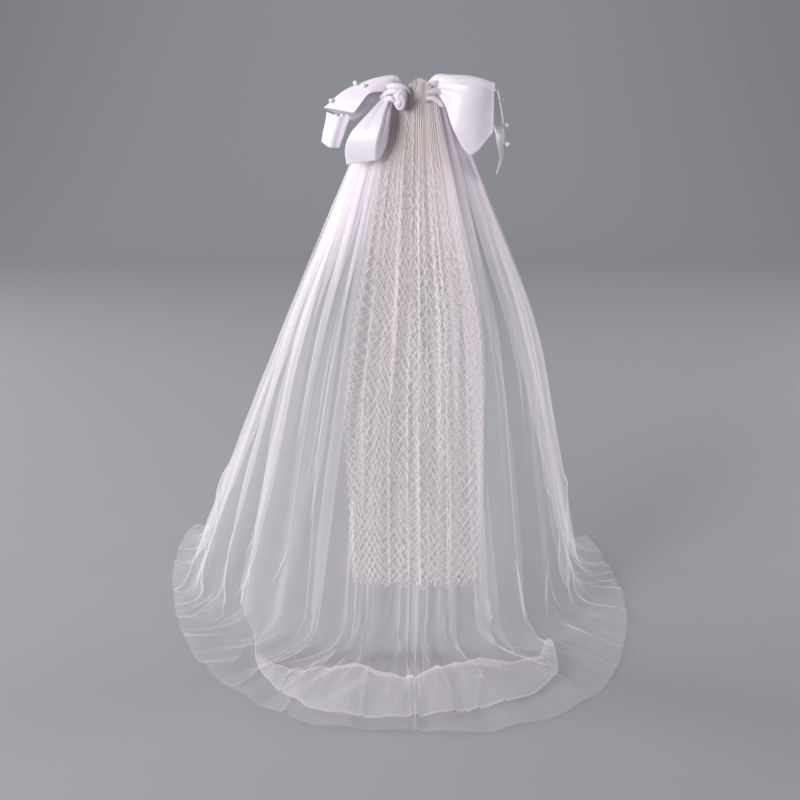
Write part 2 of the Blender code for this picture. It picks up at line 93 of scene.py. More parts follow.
# %% The plan of the cloth
PLAN = np.array(
    [
        # heading, shoulder, knee, hem
        (-128.0, 0.52, 1.13, 1.26),
        (-112.0, 0.49, 0.97, 1.10),
        (-92.0, 0.46, 0.86, 0.97),
        (-74.0, 0.43, 0.72, 0.93),
        (-55.0, 0.37, 0.59, 0.94),
        (-36.0, 0.28, 0.48, 0.97),
        (-17.0, 0.22, 0.41, 1.01),
        (0.0, 0.20, 0.39, 1.00),
        (19.0, 0.23, 0.42, 1.06),
        (44.0, 0.36, 0.52, 1.05),
        (66.0, 0.44, 0.62, 0.97),
        (88.0, 0.48, 0.71, 0.95),
        (108.0, 0.50, 0.80, 0.98),
        (126.0, 0.52, 0.93, 1.09),
    ]
)
SHORT_HEM = np.array(
    [
        # heading, hem: left of the front the short tier ends before it reaches the floor
        (-76.0, 0.50),
        (-70.0, 0.55),
        (-62.0, 0.63),
        (-54.0, 0.70),
        (-44.0, 0.79),
        (-33.0, 0.87),
        (-18.0, 0.95),
        (0.0, 0.95),
        (18.0, 0.94),
        (32.0, 0.93),
        (43.0, 0.87),
        (52.0, 0.76),
        (78.0, 0.70),
    ]
)


def read_table(table, column, at):
    """A column of a table read at any place: a cubic between rows, whose slope at a row is the
    mean of the slopes on its two sides."""
    rows, values = table[:, 0], table[:, column]
    slopes = np.gradient(values, rows)
    k = np.clip(np.searchsorted(rows, at) - 1, 0, len(rows) - 2)
    span = rows[k + 1] - rows[k]
    s = np.clip((at - rows[k]) / span, 0.0, 1.0)
    ease = s * s * (3.0 - 2.0 * s)
    bend = s * (1.0 - s) ** 2 * slopes[k] - s * s * (1.0 - s) * slopes[k + 1]
    return values[k] * (1.0 - ease) + values[k + 1] * ease + bend * span


print("hem in front at", read_table(PLAN, 3, np.array([0.0]))[0] * HEM_RADIUS, "m")

# %% [markdown]
# ## The camera
#
# The hem reads as a circle on the floor only for a camera that looks down by about 18 degrees
# from a little over a metre and a half away. It comes early, so that each piece can be looked at
# as soon as it is made.

# %% Place the camera
CAMERA_AT = (HEM_SHIFT, -1.655, 0.8466 - HANG_DROP)
CAMERA_PITCH = np.radians(18.0)
SENSOR = 36.0
FOCAL_SHARE = 1250.0 / 800.0  # focal length as a share of the picture's width


def place_camera():
    """A level camera tipped down by its pitch."""
    data = bpy.data.cameras.new("camera")
    data.sensor_width = SENSOR
    data.lens = SENSOR * FOCAL_SHARE
    camera = bpy.data.objects.new("camera", data)
    camera.location = CAMERA_AT
    camera.rotation_euler = (0.5 * np.pi - CAMERA_PITCH, 0.0, 0.0)
    bpy.context.scene.collection.objects.link(camera)
    bpy.context.scene.camera = camera
    return camera


camera = place_camera()
print(f"lens {camera.data.lens:.1f} mm at {camera.location[:]}")

# %% [markdown]
# ## Making a mesh from a grid
#
# Cloth is a surface of two parameters: one across the cloth and one down it. Worked out as whole
# arrays, it goes into a mesh as a grid of quads, with a UV map that holds real metres of cloth,
# so that a weave keeps its true size wherever the cloth goes.

# %% Grid helper
def grid_faces(rows, columns, turned=False):
    """Quads between neighbouring points of a rows x columns grid."""
    index = np.arange(rows * columns).reshape(rows, columns)
    a, b = index[:-1, :-1].ravel(), index[:-1, 1:].ravel()
    c, d = index[1:, 1:].ravel(), index[1:, :-1].ravel()
    return np.stack([a, b, c, d] if turned else [a, d, c, b], axis=1)


def mesh_from(name, points, faces, uv=None):
    """A smooth mesh object from arrays of points, equal-sided faces, and a UV for each point."""
    points = np.asarray(points, np.float32).reshape(-1, 3)
    faces = np.asarray(faces, np.int32)
    count, sides = faces.shape
    mesh = bpy.data.meshes.new(name)
    mesh.vertices.add(len(points))
    mesh.vertices.foreach_set("co", points.ravel())
    mesh.loops.add(count * sides)
    mesh.loops.foreach_set("vertex_index", faces.ravel())
    mesh.polygons.add(count)
    mesh.polygons.foreach_set("loop_start", np.arange(0, count * sides, sides, dtype=np.int32))
    mesh.polygons.foreach_set("loop_total", np.full(count, sides, np.int32))
    mesh.update(calc_edges=True)
    mesh.validate()
    if uv is not None:
        layer = mesh.uv_layers.new(name="cloth")
        layer.data.foreach_set("uv", np.asarray(uv, np.float32).reshape(-1, 2)[faces.ravel()].ravel())
    mesh.shade_smooth()
    piece = bpy.data.objects.new(name, mesh)
    bpy.context.scene.collection.objects.link(piece)
    return piece


def dress(piece, material, node=None):
    """Gives a piece its material, hangs it on the root body, and hides the solid that it stands for, if one
    is named.
    """
    piece.data.materials.append(material)
    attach(piece, "root")
    if node:
        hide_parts(node)


print("a 3 x 4 grid has", len(grid_faces(3, 4)), "faces")

# %% [markdown]
# ## Materials
#
# A hex value is how a colour is picked from a screen, but shaders work in linear light, so one
# function turns it. Another adds a node with its settings and links.

# %% Colour and node helpers
def linear(hex_value):
    """sRGB hex to linear RGBA."""
    parts = [int(hex_value[k : k + 2], 16) / 255.0 for k in (1, 3, 5)]
    turned = [p / 12.92 if p <= 0.04045 else ((p + 0.055) / 1.055) ** 2.4 for p in parts]
    return (*turned, 1.0)


def add_node(tree, kind, links=None, **settings):
    """Adds a node. A setting names a property or, with spaces as underscores, an input socket;
    links joins input sockets, by name or number, to outputs of other nodes."""
    node = tree.nodes.new(kind)
    for name, value in settings.items():
        if hasattr(node, name):
            setattr(node, name, value)
        else:
            node.inputs[name.replace("_", " ")].default_value = value
    for socket, source in (links or {}).items():
        tree.links.new(source, node.inputs[socket])
    return node


def new_material(name):
    """An empty node material and its output."""
    material = bpy.data.materials.new(name)
    material.use_nodes = True
    tree = material.node_tree
    tree.nodes.clear()
    return material, tree, tree.nodes.new("ShaderNodeOutputMaterial")


def one_shader(made, links=None, **settings):
    """Ends a material that new_material made with one principled shader."""
    material, tree, out = made
    shader = add_node(tree, "ShaderNodeBsdfPrincipled", links, **settings)
    tree.links.new(shader.outputs[0], out.inputs["Surface"])
    return material


def stripes(tree, vector, pitch, **settings):
    """Sine bands, pitch metres apart."""
    scale = np.pi / pitch / 10.0
    return add_node(tree, "ShaderNodeTexWave", {"Vector": vector}, Scale=scale, **settings).outputs["Fac"]


def tone_between(tree, share, first, second):
    """A colour that goes from the first hex to the second as share goes from 0 to 1."""
    tone = add_node(tree, "ShaderNodeMix", {0: share}, data_type="RGBA")
    tone.inputs[6].default_value = linear(first)
    tone.inputs[7].default_value = linear(second)
    return tone.outputs[2]


def object_cloud(tree, scale, detail):
    """Slow noise over the object, in its own coordinates."""
    place = add_node(tree, "ShaderNodeTexCoord")
    links = {"Vector": place.outputs["Object"]}
    return add_node(tree, "ShaderNodeTexNoise", links, Scale=scale, Detail=detail).outputs["Fac"]


def mapped(tree, value, reach, low, high, **settings):
    """A value from 0 to reach turned into one from low to high."""
    ends = dict(From_Min=0.0, From_Max=reach, To_Min=low, To_Max=high)
    return add_node(tree, "ShaderNodeMapRange", {"Value": value}, **settings, **ends).outputs[0]


print("white satin in linear light:", linear("#F0EAF2"))

# %% [markdown]
# ### Tulle
#
# Bridal tulle is a warp-knitted nylon net, with six-sided holes of 1 to 2 mm and threads of about
# a tenth of a millimetre. One layer covers about a sixth of what is behind it. Seen at a slant
# its threads close up, so each fold's edge shows as a bright line. Threads scatter light through
# as well as back, so the shader is part diffuse and part translucent.

# %% Tulle material
TULLE_CELL = 2.4 * MM  # drawn half again as coarse as the real 1.6 mm, to show at all
TULLE_COVER = 0.11  # what one layer hides, seen square on
TULLE_SLANT = 0.86  # how far a slanted layer closes up
TULLE_GRAIN = (0.72, 1.18)  # what the mesh leaves of the cover in its holes and on its threads
TULLE_THROUGH = 0.35  # share of the light on a thread that goes through it


def tulle_material(name, cover, crowd, reach, colour):
    """Knitted nylon net, see-through by its thread cover: the cover square on, divided by how
    square on the layer is seen, with a mesh of two slanted sets of threads varying it. Gathers
    too fine to model multiply the cover by crowd at the comb, and open out over reach metres."""
    material, tree, out = new_material(name)
    uv = add_node(tree, "ShaderNodeUVMap", uv_map="cloth")
    threads = []
    for angle in (np.radians(60.0), np.radians(-60.0)):
        turned = add_node(tree, "ShaderNodeMapping", {"Vector": uv.outputs[0]}, Rotation=(0, 0, angle))
        threads.append(stripes(tree, turned.outputs[0], TULLE_CELL))
    mesh = add_node(tree, "ShaderNodeMath", {0: threads[0], 1: threads[1]}, operation="MAXIMUM")
    grain = mapped(tree, mesh.outputs[0], 1.0, *TULLE_GRAIN)
    square = add_node(tree, "ShaderNodeLayerWeight", Blend=0.5)
    open_share = mapped(tree, square.outputs["Facing"], 1.0, 1.0, 1.0 - TULLE_SLANT)
    apart = add_node(tree, "ShaderNodeSeparateXYZ", {0: uv.outputs[0]})
    smooth = "SMOOTHERSTEP"
    crowded = mapped(tree, apart.outputs["Y"], reach, crowd * cover, cover, interpolation_type=smooth)
    slanted = add_node(tree, "ShaderNodeMath", {0: crowded, 1: open_share}, operation="DIVIDE")
    share = add_node(
        tree, "ShaderNodeMath", {0: slanted.outputs[0], 1: grain}, operation="MULTIPLY", use_clamp=True
    )
    back = add_node(
        tree,
        "ShaderNodeBsdfPrincipled",
        Base_Color=linear(colour),
        Roughness=0.75,
        Sheen_Weight=0.25,
        Sheen_Roughness=0.4,
    )
    through = add_node(tree, "ShaderNodeBsdfTranslucent", Color=linear(colour))
    thread = add_node(tree, "ShaderNodeMixShader", {1: back.outputs[0], 2: through.outputs[0]})
    thread.inputs[0].default_value = TULLE_THROUGH
    clear = add_node(tree, "ShaderNodeBsdfTransparent")
    film = add_node(
        tree, "ShaderNodeMixShader", {0: share.outputs[0], 1: clear.outputs[0], 2: thread.outputs[0]}
    )
    tree.links.new(film.outputs[0], out.inputs["Surface"])
    return material


tulle = tulle_material("nylon_tulle_knitted", TULLE_COVER, 3.2, 0.30, "#FCF6FB")
gathers = tulle_material("nylon_netting_gathered_fine", 0.02, 44.0, 0.17, "#E6DCDC")
print("tulle drawn with cells of", TULLE_CELL / MM, "mm")

# %% [markdown]
# ### Netting, satin, pearl and comb
#
# The netting is a stiffer, warmer thread than the tulle. Satin floats its warp over the weft, so
# it is smooth and glossy, and its gloss spreads across the threads. An imitation pearl is a bead
# dipped in lacquer, which has a soft glow under a hard gloss. The comb is clear moulded plastic.

# %% The other materials
def netting_material():
    """Twisted nylon cord, warm white, with the twist as a fine bump along it."""
    made = new_material("nylon_netting_cord_twisted")
    tree = made[1]
    uv = add_node(tree, "ShaderNodeUVMap", uv_map="cloth")
    twist = stripes(tree, uv.outputs[0], 1.2 * MM, bands_direction="DIAGONAL")
    bump = add_node(tree, "ShaderNodeBump", {"Height": twist}, Strength=0.3, Distance=0.1 * MM)
    links = {"Normal": bump.outputs[0]}
    return one_shader(made, links, Base_Color=linear("#FFF5F2"), Roughness=0.5, Sheen_Weight=0.4)


def satin_material():
    """Polyester satin: a long-float weave with a soft gloss, its warp drawn as a faint bump and its folds
    as slow rumples. Its colour is painted shade: a lilac tone where the rumples dip and a near white where
    they rise."""
    made = new_material("polyester_satin_woven")
    tree = made[1]
    uv = add_node(tree, "ShaderNodeUVMap", uv_map="cloth")
    weave = stripes(tree, uv.outputs[0], 0.8 * MM, Distortion=1.0)
    rumple_and_shade = object_cloud(tree, 38.0, 3.0)
    height = add_node(tree, "ShaderNodeMath", {0: rumple_and_shade, 2: weave}, operation="MULTIPLY_ADD")
    height.inputs[1].default_value = 6.0  # the cloud's rumples stand six times as high as the weave
    links = {"Height": height.outputs[0]}
    bump = add_node(tree, "ShaderNodeBump", links, Strength=0.25, Distance=0.25 * MM)
    # Painted shade: the tone runs from a dark lilac where the rumples dip to near white where they rise.
    tone = tone_between(tree, rumple_and_shade, "#DACFDE", "#F0EAF2")
    return one_shader(
        made,
        {"Base Color": tone, "Normal": bump.outputs[0]},
        Roughness=0.30,
        Sheen_Weight=0.25,
        Sheen_Roughness=0.3,
        Coat_Weight=0.15,
        Coat_Roughness=0.3,
    )


def pearl_material():
    """Lacquered bead: a warm white under a clear coat, with a painted sheen: a rosy rim where the bead is
    seen at a slant.
    """
    made = new_material("imitation_pearl_lacquered")
    tree = made[1]
    rosy_rim_sheen = add_node(tree, "ShaderNodeLayerWeight", Blend=0.35)
    # Painted sheen: the colour turns rosy where the surface is seen edge-on.
    links = {"Base Color": tone_between(tree, rosy_rim_sheen.outputs["Facing"], "#F8F3EE", "#E3CFCF")}
    return one_shader(made, links, Roughness=0.22, Coat_Weight=0.8, Coat_Roughness=0.06)


def comb_material():
    """Milky moulded plastic with faint flow clouds."""
    made = new_material("polystyrene_comb_moulded")
    tree = made[1]
    links = {"Base Color": tone_between(tree, object_cloud(tree, 60.0, 2.0), "#DADCE0", "#F1F1F3")}
    return one_shader(made, links, Roughness=0.25, Coat_Weight=0.3)


netting = netting_material()
satin = satin_material()
pearl = pearl_material()
comb = comb_material()
print("materials", [m.name for m in bpy.data.materials])

# %% [markdown]
# ## How the cloth falls
#
# The middle surface of the cloth follows three straights at each heading: gather to shoulder,
# shoulder to floor, and out along the floor to the hem. Each corner is rounded by a parabola, as
# stiff tulle does, and the course at any place is known in closed form.

# %% The course of the fall
def radial(heading):
    """Unit vectors out from the axis at these headings, and along the hem."""
    turn = np.radians(heading)
    zero = np.zeros_like(turn)
    out = np.stack([np.sin(turn), -np.cos(turn), zero], axis=-1)
    along = np.stack([np.cos(turn), np.sin(turn), zero], axis=-1)
    return out, along


def fall_corners(heading):
    """Gather, shoulder, knee and hem points at each heading."""
    out, _ = radial(heading)
    turn = np.radians(heading * GATHER_TURN)
    gather = np.stack(
        [
            0.5 * GATHER_WIDTH * np.sin(turn),
            -0.5 * GATHER_DEPTH * np.cos(turn),
            -GATHER_DIP * (1.0 - np.cos(turn)),
        ],
        axis=-1,
    )
    corners = [gather]
    for column, low in zip((1, 2, 3), (SHOULDER_DROP, HANG_DROP, HANG_DROP)):
        reach = read_table(PLAN, column, heading) * HEM_RADIUS
        middle = np.array([HEM_SHIFT * low / HANG_DROP, 0.0, -low])
        corners.append(middle + out * reach[..., None])
    return corners


def fall_lengths(corners):
    """Lengths of the three straights, and how far each corner's rounding reaches."""
    spans = [np.linalg.norm(b - a, axis=-1) for a, b in zip(corners, corners[1:])]
    shoulder = np.minimum(SHOULDER_REACH, 0.45 * np.minimum(spans[0], spans[1]))
    knee = np.minimum(BEND_REACH, 0.95 * spans[2])
    return spans, (shoulder, knee)


def fall_point(heading, run):
    """Place, outward normal and course of the cloth, run metres below the gather. Each straight
    adds its own direction times the run past its start, and a parabola eases it in."""
    corners = fall_corners(heading)
    spans, reaches = fall_lengths(corners)
    unit = [(b - a) / s[..., None] for a, b, s in zip(corners, corners[1:], spans)]
    place = corners[0] + unit[0] * run[..., None]
    course = np.broadcast_to(unit[0], place.shape).copy()
    start = np.zeros_like(run)
    for k, reach in zip((1, 2), reaches):
        start = start + spans[k - 1]
        past = run - start
        turn = unit[k] - unit[k - 1]
        share = np.clip((past + reach) / (2.0 * reach), 0.0, 1.0)
        shift = np.where(past < reach, np.maximum(past + reach, 0.0) ** 2 / (4.0 * reach), past)
        place = place + turn * shift[..., None]
        course = course + turn * share[..., None]
    _, along = radial(heading)
    along = np.broadcast_to(along, course.shape)
    rise = (run < 0.0)[..., None]
    up = np.array([0.0, 0.0, -1.0])
    place = np.where(rise, corners[0] + up * run[..., None], place)
    course = np.where(rise, up, course)
    normal = np.cross(course, along)
    return place, normal / np.linalg.norm(normal, axis=-1, keepdims=True), along


def down_to_floor(heading):
    """How much cloth hangs before it lies on the floor, and how far out it is there."""
    corners = fall_corners(heading)
    spans, (_, knee) = fall_lengths(corners)
    reach = read_table(PLAN, 2, heading) * HEM_RADIUS + knee
    return spans[0] + spans[1] + knee, reach


print("cloth in front hangs for", down_to_floor(np.array([0.0]))[0][0], "m")

# %% [markdown]
# ## Folds
#
# Gathered cloth keeps its width, so it has to go somewhere. The widest folds are standing ridges,
# the same as in the solids. The others are laps: the cloth runs past a line, turns back under
# itself and comes forward again, so that three layers lie over each other. That is what reads as
# a pale band with two bright edges, and where a lap dies out the edges meet in a point.

# %% Ridges and laps
FOLD_SHARE = 0.065
FLOOR_FOLD = 0.45
FOLDS = np.array(
    [
        # heading, half width, depth as a share of a full fold
        (-119.0, 8.0, 0.8),
        (-105.0, 7.0, 1.0),
        (-91.0, 7.5, 0.7),
        (-78.0, 6.5, 1.0),
        (-65.0, 7.0, 0.8),
        (-51.0, 7.5, 1.0),
        (-38.0, 6.5, 0.9),
        (-25.0, 6.5, 0.7),
        (-13.0, 6.5, 0.9),
        (0.0, 6.5, 0.6),
        (12.0, 6.5, 0.9),
        (25.0, 7.0, 1.0),
        (38.0, 6.5, 0.8),
        (51.0, 7.5, 1.1),
        (65.0, 7.0, 0.8),
        (78.0, 6.5, 1.0),
        (91.0, 7.0, 0.8),
        (105.0, 7.5, 1.0),
        (118.0, 7.0, 0.8),
    ]
)


def ridge_height(heading, reach, lying):
    """How far the standing ridges lift the cloth: a squared cosine for each, as deep as it lies
    far out, and lower where the cloth lies down."""
    ridge = np.zeros_like(heading)
    for middle, half, depth in FOLDS:
        across = np.clip(np.abs(heading - middle) / half, 0.0, 1.0)
        ridge += depth * np.cos(0.5 * np.pi * across) ** 2
    return ridge * FOLD_SHARE * reach * (1.0 - (1.0 - FLOOR_FOLD) * lying)


def scatter_laps(low, high, count, half, fold, depth, top, bottom):
    """A table of laps spread over the headings. Each pair is (least, most) of what is drawn: half
    width, how far it folds over, depth in mm, and where it starts and ends down the cloth."""
    middle = np.linspace(low, high, count) + random.uniform(-0.45, 0.45, count) * (high - low) / count
    draw = [random.uniform(*pair, count) for pair in (half, fold, depth, top, bottom)]
    return np.column_stack([middle, *draw, random.choice([-1.0, 1.0], count)])


def lap_fields(laps, across, down):
    """Sideways shift in degrees and lift in metres of the laps on a grid. Across a lap at s half
    widths from its middle, the shift is -fold s exp(-s^2), which turns back where fold is over 1,
    and the lift climbs from the under layer to the top one by a tanh."""
    shift = np.zeros((len(down), len(across)))
    lift = np.zeros_like(shift)
    for middle, half, fold, depth, top, bottom, hand in laps:
        rise = np.clip((down - top) / 0.25, 0.0, 1.0)
        fall = np.clip((bottom - down) / 0.30, 0.0, 1.0)
        window = (rise * rise * (3 - 2 * rise) * fall * fall * (3 - 2 * fall))[:, None]
        near = np.abs(across - middle) < 5.0 * half
        s = (across[near] - middle)[None, :] / half
        shift[:, near] -= fold * half * s * np.exp(-s * s) * window
        climb = 0.5 + 0.5 * np.tanh(2.5 * hand * s)
        lift[:, near] += depth * MM * climb * np.exp(-((s / 2.0) ** 2)) * window
    return shift, lift


def crowd_columns(low, high, count, laps):
    """Column places that crowd round the narrow laps: equal steps of a density that is one
    everywhere plus a bell at each."""
    fine = np.linspace(low, high, 8000)
    density = np.ones_like(fine)
    for middle, half, *_ in laps:
        density += 0.55 / half * np.exp(-(((fine - middle) / (1.4 * half)) ** 2))
    total = np.cumsum(density)
    total = (total - total[0]) / (total[-1] - total[0])
    return np.interp(np.linspace(0.0, 1.0, count), total, fine)


print(len(FOLDS), "standing ridges")

# %% [markdown]
# ## The tiers of tulle
#
# A tier is one sheet. Slow waves let its folds wander sideways on their way down. Where the cloth
# turns onto the floor it buckles into short sharp creases, which are pinches of a few millimetres
# at all angles, and a low rumple fills what is between them.

# %% Tier surface
def slow_waves(across, down, count, round_rate, down_rate, seed):
    """A sum of waves of random slant: cycles per degree round the veil, cycles down its length."""
    waves = np.random.default_rng(seed)
    field = np.zeros((len(down), len(across)))
    for _ in range(count):
        n, m, phase = waves.uniform(*round_rate), waves.uniform(*down_rate), waves.uniform(0, 2 * np.pi)
        field += np.sin(2 * np.pi * (across[None, :] * n + down[:, None] * m) + phase)
    return field / np.sqrt(count)


def crease_lift(across, run, low, high, count, seed):
    """Short sharp creases about the turn onto the floor. Each is a pinch: a bell a few millimetres
    wide across its line and fading along it."""
    draw = np.random.default_rng(seed)
    lift = np.zeros_like(run)
    for _ in range(count):
        middle, at = draw.uniform(low, high), draw.normal(0.79, 0.10)
        lean, length = draw.normal(0.0, 0.45), draw.uniform(0.02, 0.07)
        half, depth = draw.uniform(1.6, 2.8) * MM, draw.uniform(3.0, 7.0) * MM
        near = np.abs(across - middle) < 24.0
        x = np.radians(across[near] - middle)[None, :] * 0.30
        y = run[:, near] - at
        along = x * np.sin(lean) + y * np.cos(lean)
        beside = x * np.cos(lean) - y * np.sin(lean)
        lift[:, near] += depth * np.exp(-((beside / half) ** 2) - (along / length) ** 2)
    return lift


WANDER = 3.2  # degrees that a fold strays on its way down


def tier_grid(low, high, columns, rows, hem, laps, gap, creases, seed):
    """Points, headings and UVs of a tier. Across it is heading and down it a share of its length;
    laps shift the heading, and ridges, laps and creases lift the cloth along its normal."""
    across = crowd_columns(low, high, columns, laps)
    down = np.linspace(0.0, 1.0, rows)
    shift, lift = lap_fields(laps, across, down)
    shift = shift * np.clip((1.0 - down) / 0.18, 0.35, 1.0)[:, None]
    ends = (across[None, :] - low) * (high - across[None, :]) / (0.25 * (high - low) ** 2)
    drift = WANDER * slow_waves(across, down, 8, (0.004, 0.022), (0.3, 1.2), seed)
    drift = drift * np.clip(down * 3.0, 0.0, 1.0)[:, None] * np.sqrt(np.clip(ends, 0.0, 1.0))
    heading = across[None, :] + shift + drift
    heading = np.clip(heading, PLAN[0, 0], PLAN[-1, 0])
    hang, floor_reach = down_to_floor(heading)
    length = hang + np.maximum(hem(heading) * HEM_RADIUS - floor_reach, -0.12)
    run = down[:, None] * length
    place, normal, _ = fall_point(heading, run)
    reach = np.linalg.norm(place[..., :2], axis=-1)
    lying = np.clip(normal[..., 2], 0.0, 1.0)
    ridge = ridge_height(across[None, :] + 0.4 * drift, reach, lying) * (1.0 - 0.5 * lying)
    rumple = slow_waves(across, down, 12, (0.03, 0.2), (3.0, 12.0), seed + 5)
    turn = np.exp(-(((run - hang) / 0.10) ** 2))
    ripple = 1.2 * MM * (0.15 + turn + 0.5 * lying) * (1.6 + rumple) * down[:, None]
    pinch = crease_lift(across, run, low, high, creases, seed + 9) * (1.0 - 0.3 * lying)
    lift = lift * (1.0 - 0.55 * lying) + ridge + ripple + pinch
    place = place + normal * (np.maximum(lift, 0.0) + gap)[..., None]
    return place, across, run


print("tier surface ready")

# %% Long tier
LONG_COLUMNS, LONG_ROWS = 760, 128
LONG_LAPS = np.array(
    [
        # heading, half width, fold, depth in mm, top, bottom, hand
        (-114.0, 6.0, 2.6, 4.0, -0.5, 1.00, 1.0),
        (-97.0, 3.6, 3.0, 4.0, -0.5, 0.95, -1.0),
        (-85.0, 3.0, 2.8, 4.0, -0.5, 0.92, 1.0),
        (-73.0, 5.0, 3.0, 4.0, -0.5, 0.90, -1.0),
        (-48.0, 4.2, 2.6, 4.0, -0.5, 0.80, 1.0),
        (-30.0, 3.6, 2.6, 4.0, -0.5, 0.85, -1.0),
        (-12.0, 3.4, 2.8, 4.0, -0.5, 0.62, 1.0),
        (8.0, 3.6, 2.8, 4.0, -0.5, 0.62, -1.0),
        (24.0, 3.0, 2.8, 4.0, -0.5, 0.80, 1.0),
        (44.0, 5.6, 2.6, 4.0, -0.5, 1.02, -1.0),
        (57.0, 2.6, 3.0, 4.0, -0.5, 0.95, 1.0),
        (84.0, 9.0, 2.5, 4.5, -0.5, 0.98, -1.0),
        (104.0, 4.4, 2.6, 4.0, -0.5, 0.95, 1.0),
        (118.0, 3.4, 2.6, 4.0, -0.5, 0.95, -1.0),
    ]
)
long_laps = np.concatenate(
    [
        LONG_LAPS,
        scatter_laps(-124, 122, 14, (1.4, 2.8), (2.0, 3.4), (2.5, 4.5), (-0.4, 0.25), (0.55, 1.1)),
        scatter_laps(-126, 124, 26, (0.5, 0.8), (1.5, 2.6), (3.0, 5.0), (-0.3, 0.5), (0.6, 1.1)),
        scatter_laps(-127, 125, 72, (1.3, 2.2), (5.0, 8.0), (1.5, 3.0), (-0.8, -0.4), (0.2, 0.55)),
    ]
)
LONG_FLAT = (1.70, 0.93)


def tulle_piece(name, node, place, across, run, flat):
    """A tier as an object: its mesh with a UV in metres of cloth, ridden by the root body."""
    rows, columns = run.shape
    share = (across - across[0]) / (across[-1] - across[0])
    uv = np.stack(np.broadcast_arrays(share[None, :] * flat[0], run), axis=-1)
    piece = mesh_from(name, place, grid_faces(rows, columns), uv)
    dress(piece, tulle, node)
    steps_down = np.linalg.norm(np.diff(place, axis=0), axis=-1)[:, :-1]
    steps_side = np.linalg.norm(np.diff(place, axis=1), axis=-1)[:-1]
    print(name, 2 * (rows - 1) * (columns - 1), "triangles, about", (steps_down * steps_side).sum(), "m2")
    print("  box", place.min((0, 1)), place.max((0, 1)))
    return piece


place, across, run = tier_grid(
    low=-128.0,
    high=126.0,
    columns=LONG_COLUMNS,
    rows=LONG_ROWS,
    hem=lambda at: read_table(PLAN, 3, at),
    laps=long_laps,
    gap=0.4 * MM,
    creases=105,
    seed=21,
)
long_tier = tulle_piece("long_tier_tulle", "long_tier", place, across, run, LONG_FLAT)

# %% [markdown]
# The short tier lies over the front of the long one. Its hem is turned back on itself in front
# and stands a few centimetres high, which shows as a pale roll along the floor.

# %% Short tier
SHORT_COLUMNS, SHORT_ROWS, CURL_ROWS = 600, 116, 14
SHORT_LAPS = np.array(
    [
        # heading, half width, fold, depth in mm, top, bottom, hand
        (-69.0, 3.4, 3.0, 4.0, -0.5, 0.90, 1.0),
        (-58.0, 2.4, 2.8, 4.0, -0.5, 0.75, -1.0),
        (-41.0, 2.2, 3.0, 4.0, -0.5, 0.98, 1.0),
        (-31.0, 3.0, 2.6, 4.0, -0.5, 0.70, -1.0),
        (-19.0, 2.6, 2.8, 4.0, -0.5, 0.90, 1.0),
        (-6.0, 3.0, 2.6, 4.0, -0.5, 0.62, -1.0),
        (6.0, 2.6, 2.8, 4.0, -0.5, 0.66, 1.0),
        (18.0, 3.0, 2.6, 4.0, -0.5, 0.62, -1.0),
        (29.0, 2.6, 2.8, 4.0, -0.5, 1.05, 1.0),
        (41.0, 4.6, 2.8, 4.0, -0.5, 1.10, -1.0),
    ]
)
short_laps = np.concatenate(
    [
        SHORT_LAPS,
        scatter_laps(-68, 50, 7, (1.2, 2.4), (2.0, 3.4), (2.5, 4.5), (-0.4, 0.25), (0.55, 1.1)),
        scatter_laps(-70, 53, 16, (0.5, 0.7), (1.5, 2.6), (3.0, 5.0), (-0.3, 0.5), (0.6, 1.1)),
        scatter_laps(-71, 54, 44, (1.2, 2.0), (5.0, 8.0), (1.5, 3.0), (-0.8, -0.4), (0.2, 0.55)),
    ]
)
SHORT_FLAT = (0.95, 0.94)


def curl_hem(place, across, run):
    """Turns the hem back: further rows that run inwards over an arch, high and long about the
    front, and only a hem's width elsewhere."""
    share = np.linspace(0.0, 1.0, CURL_ROWS + 1)[1:, None]
    front = np.exp(-(((across - 4.0) / 40.0) ** 4))[None, :]
    uneven = 1.0 + 0.18 * slow_waves(across, share[:, 0], 6, (0.006, 0.03), (0.1, 0.9), 77)
    back = (3.0 * MM + 84.0 * MM * front) * uneven * share
    up = (1.5 * MM + 30.0 * MM * front) * np.sin(share**0.8 * np.pi * 0.92) * uneven
    out, _ = radial(across)
    rows = place[-1:] - out[None] * back[..., None] + np.array([0.0, 0.0, 1.0]) * up[..., None]
    more = run[-1:] + np.hypot(back, up)
    return np.concatenate([place, rows]), np.concatenate([run, more])


place, across, run = tier_grid(
    low=-72.0,
    high=55.0,
    columns=SHORT_COLUMNS,
    rows=SHORT_ROWS,
    hem=lambda at: read_table(SHORT_HEM, 1, at),
    laps=short_laps,
    gap=6.5 * MM,
    creases=84,
    seed=47,
)
place, run = curl_hem(place, across, run)
tulle_piece("short_tier_tulle", "short_tier", place, across, run, SHORT_FLAT)

# %% [markdown]
# ## The net panel
#
# Veiling net is made of cords that zigzag down the cloth and are joined where two meet. Each cord
# here is a square tube with a ring of points at every joint. The panel is gathered at the comb,
# so near the top its cells close up and its folds lie over each other.

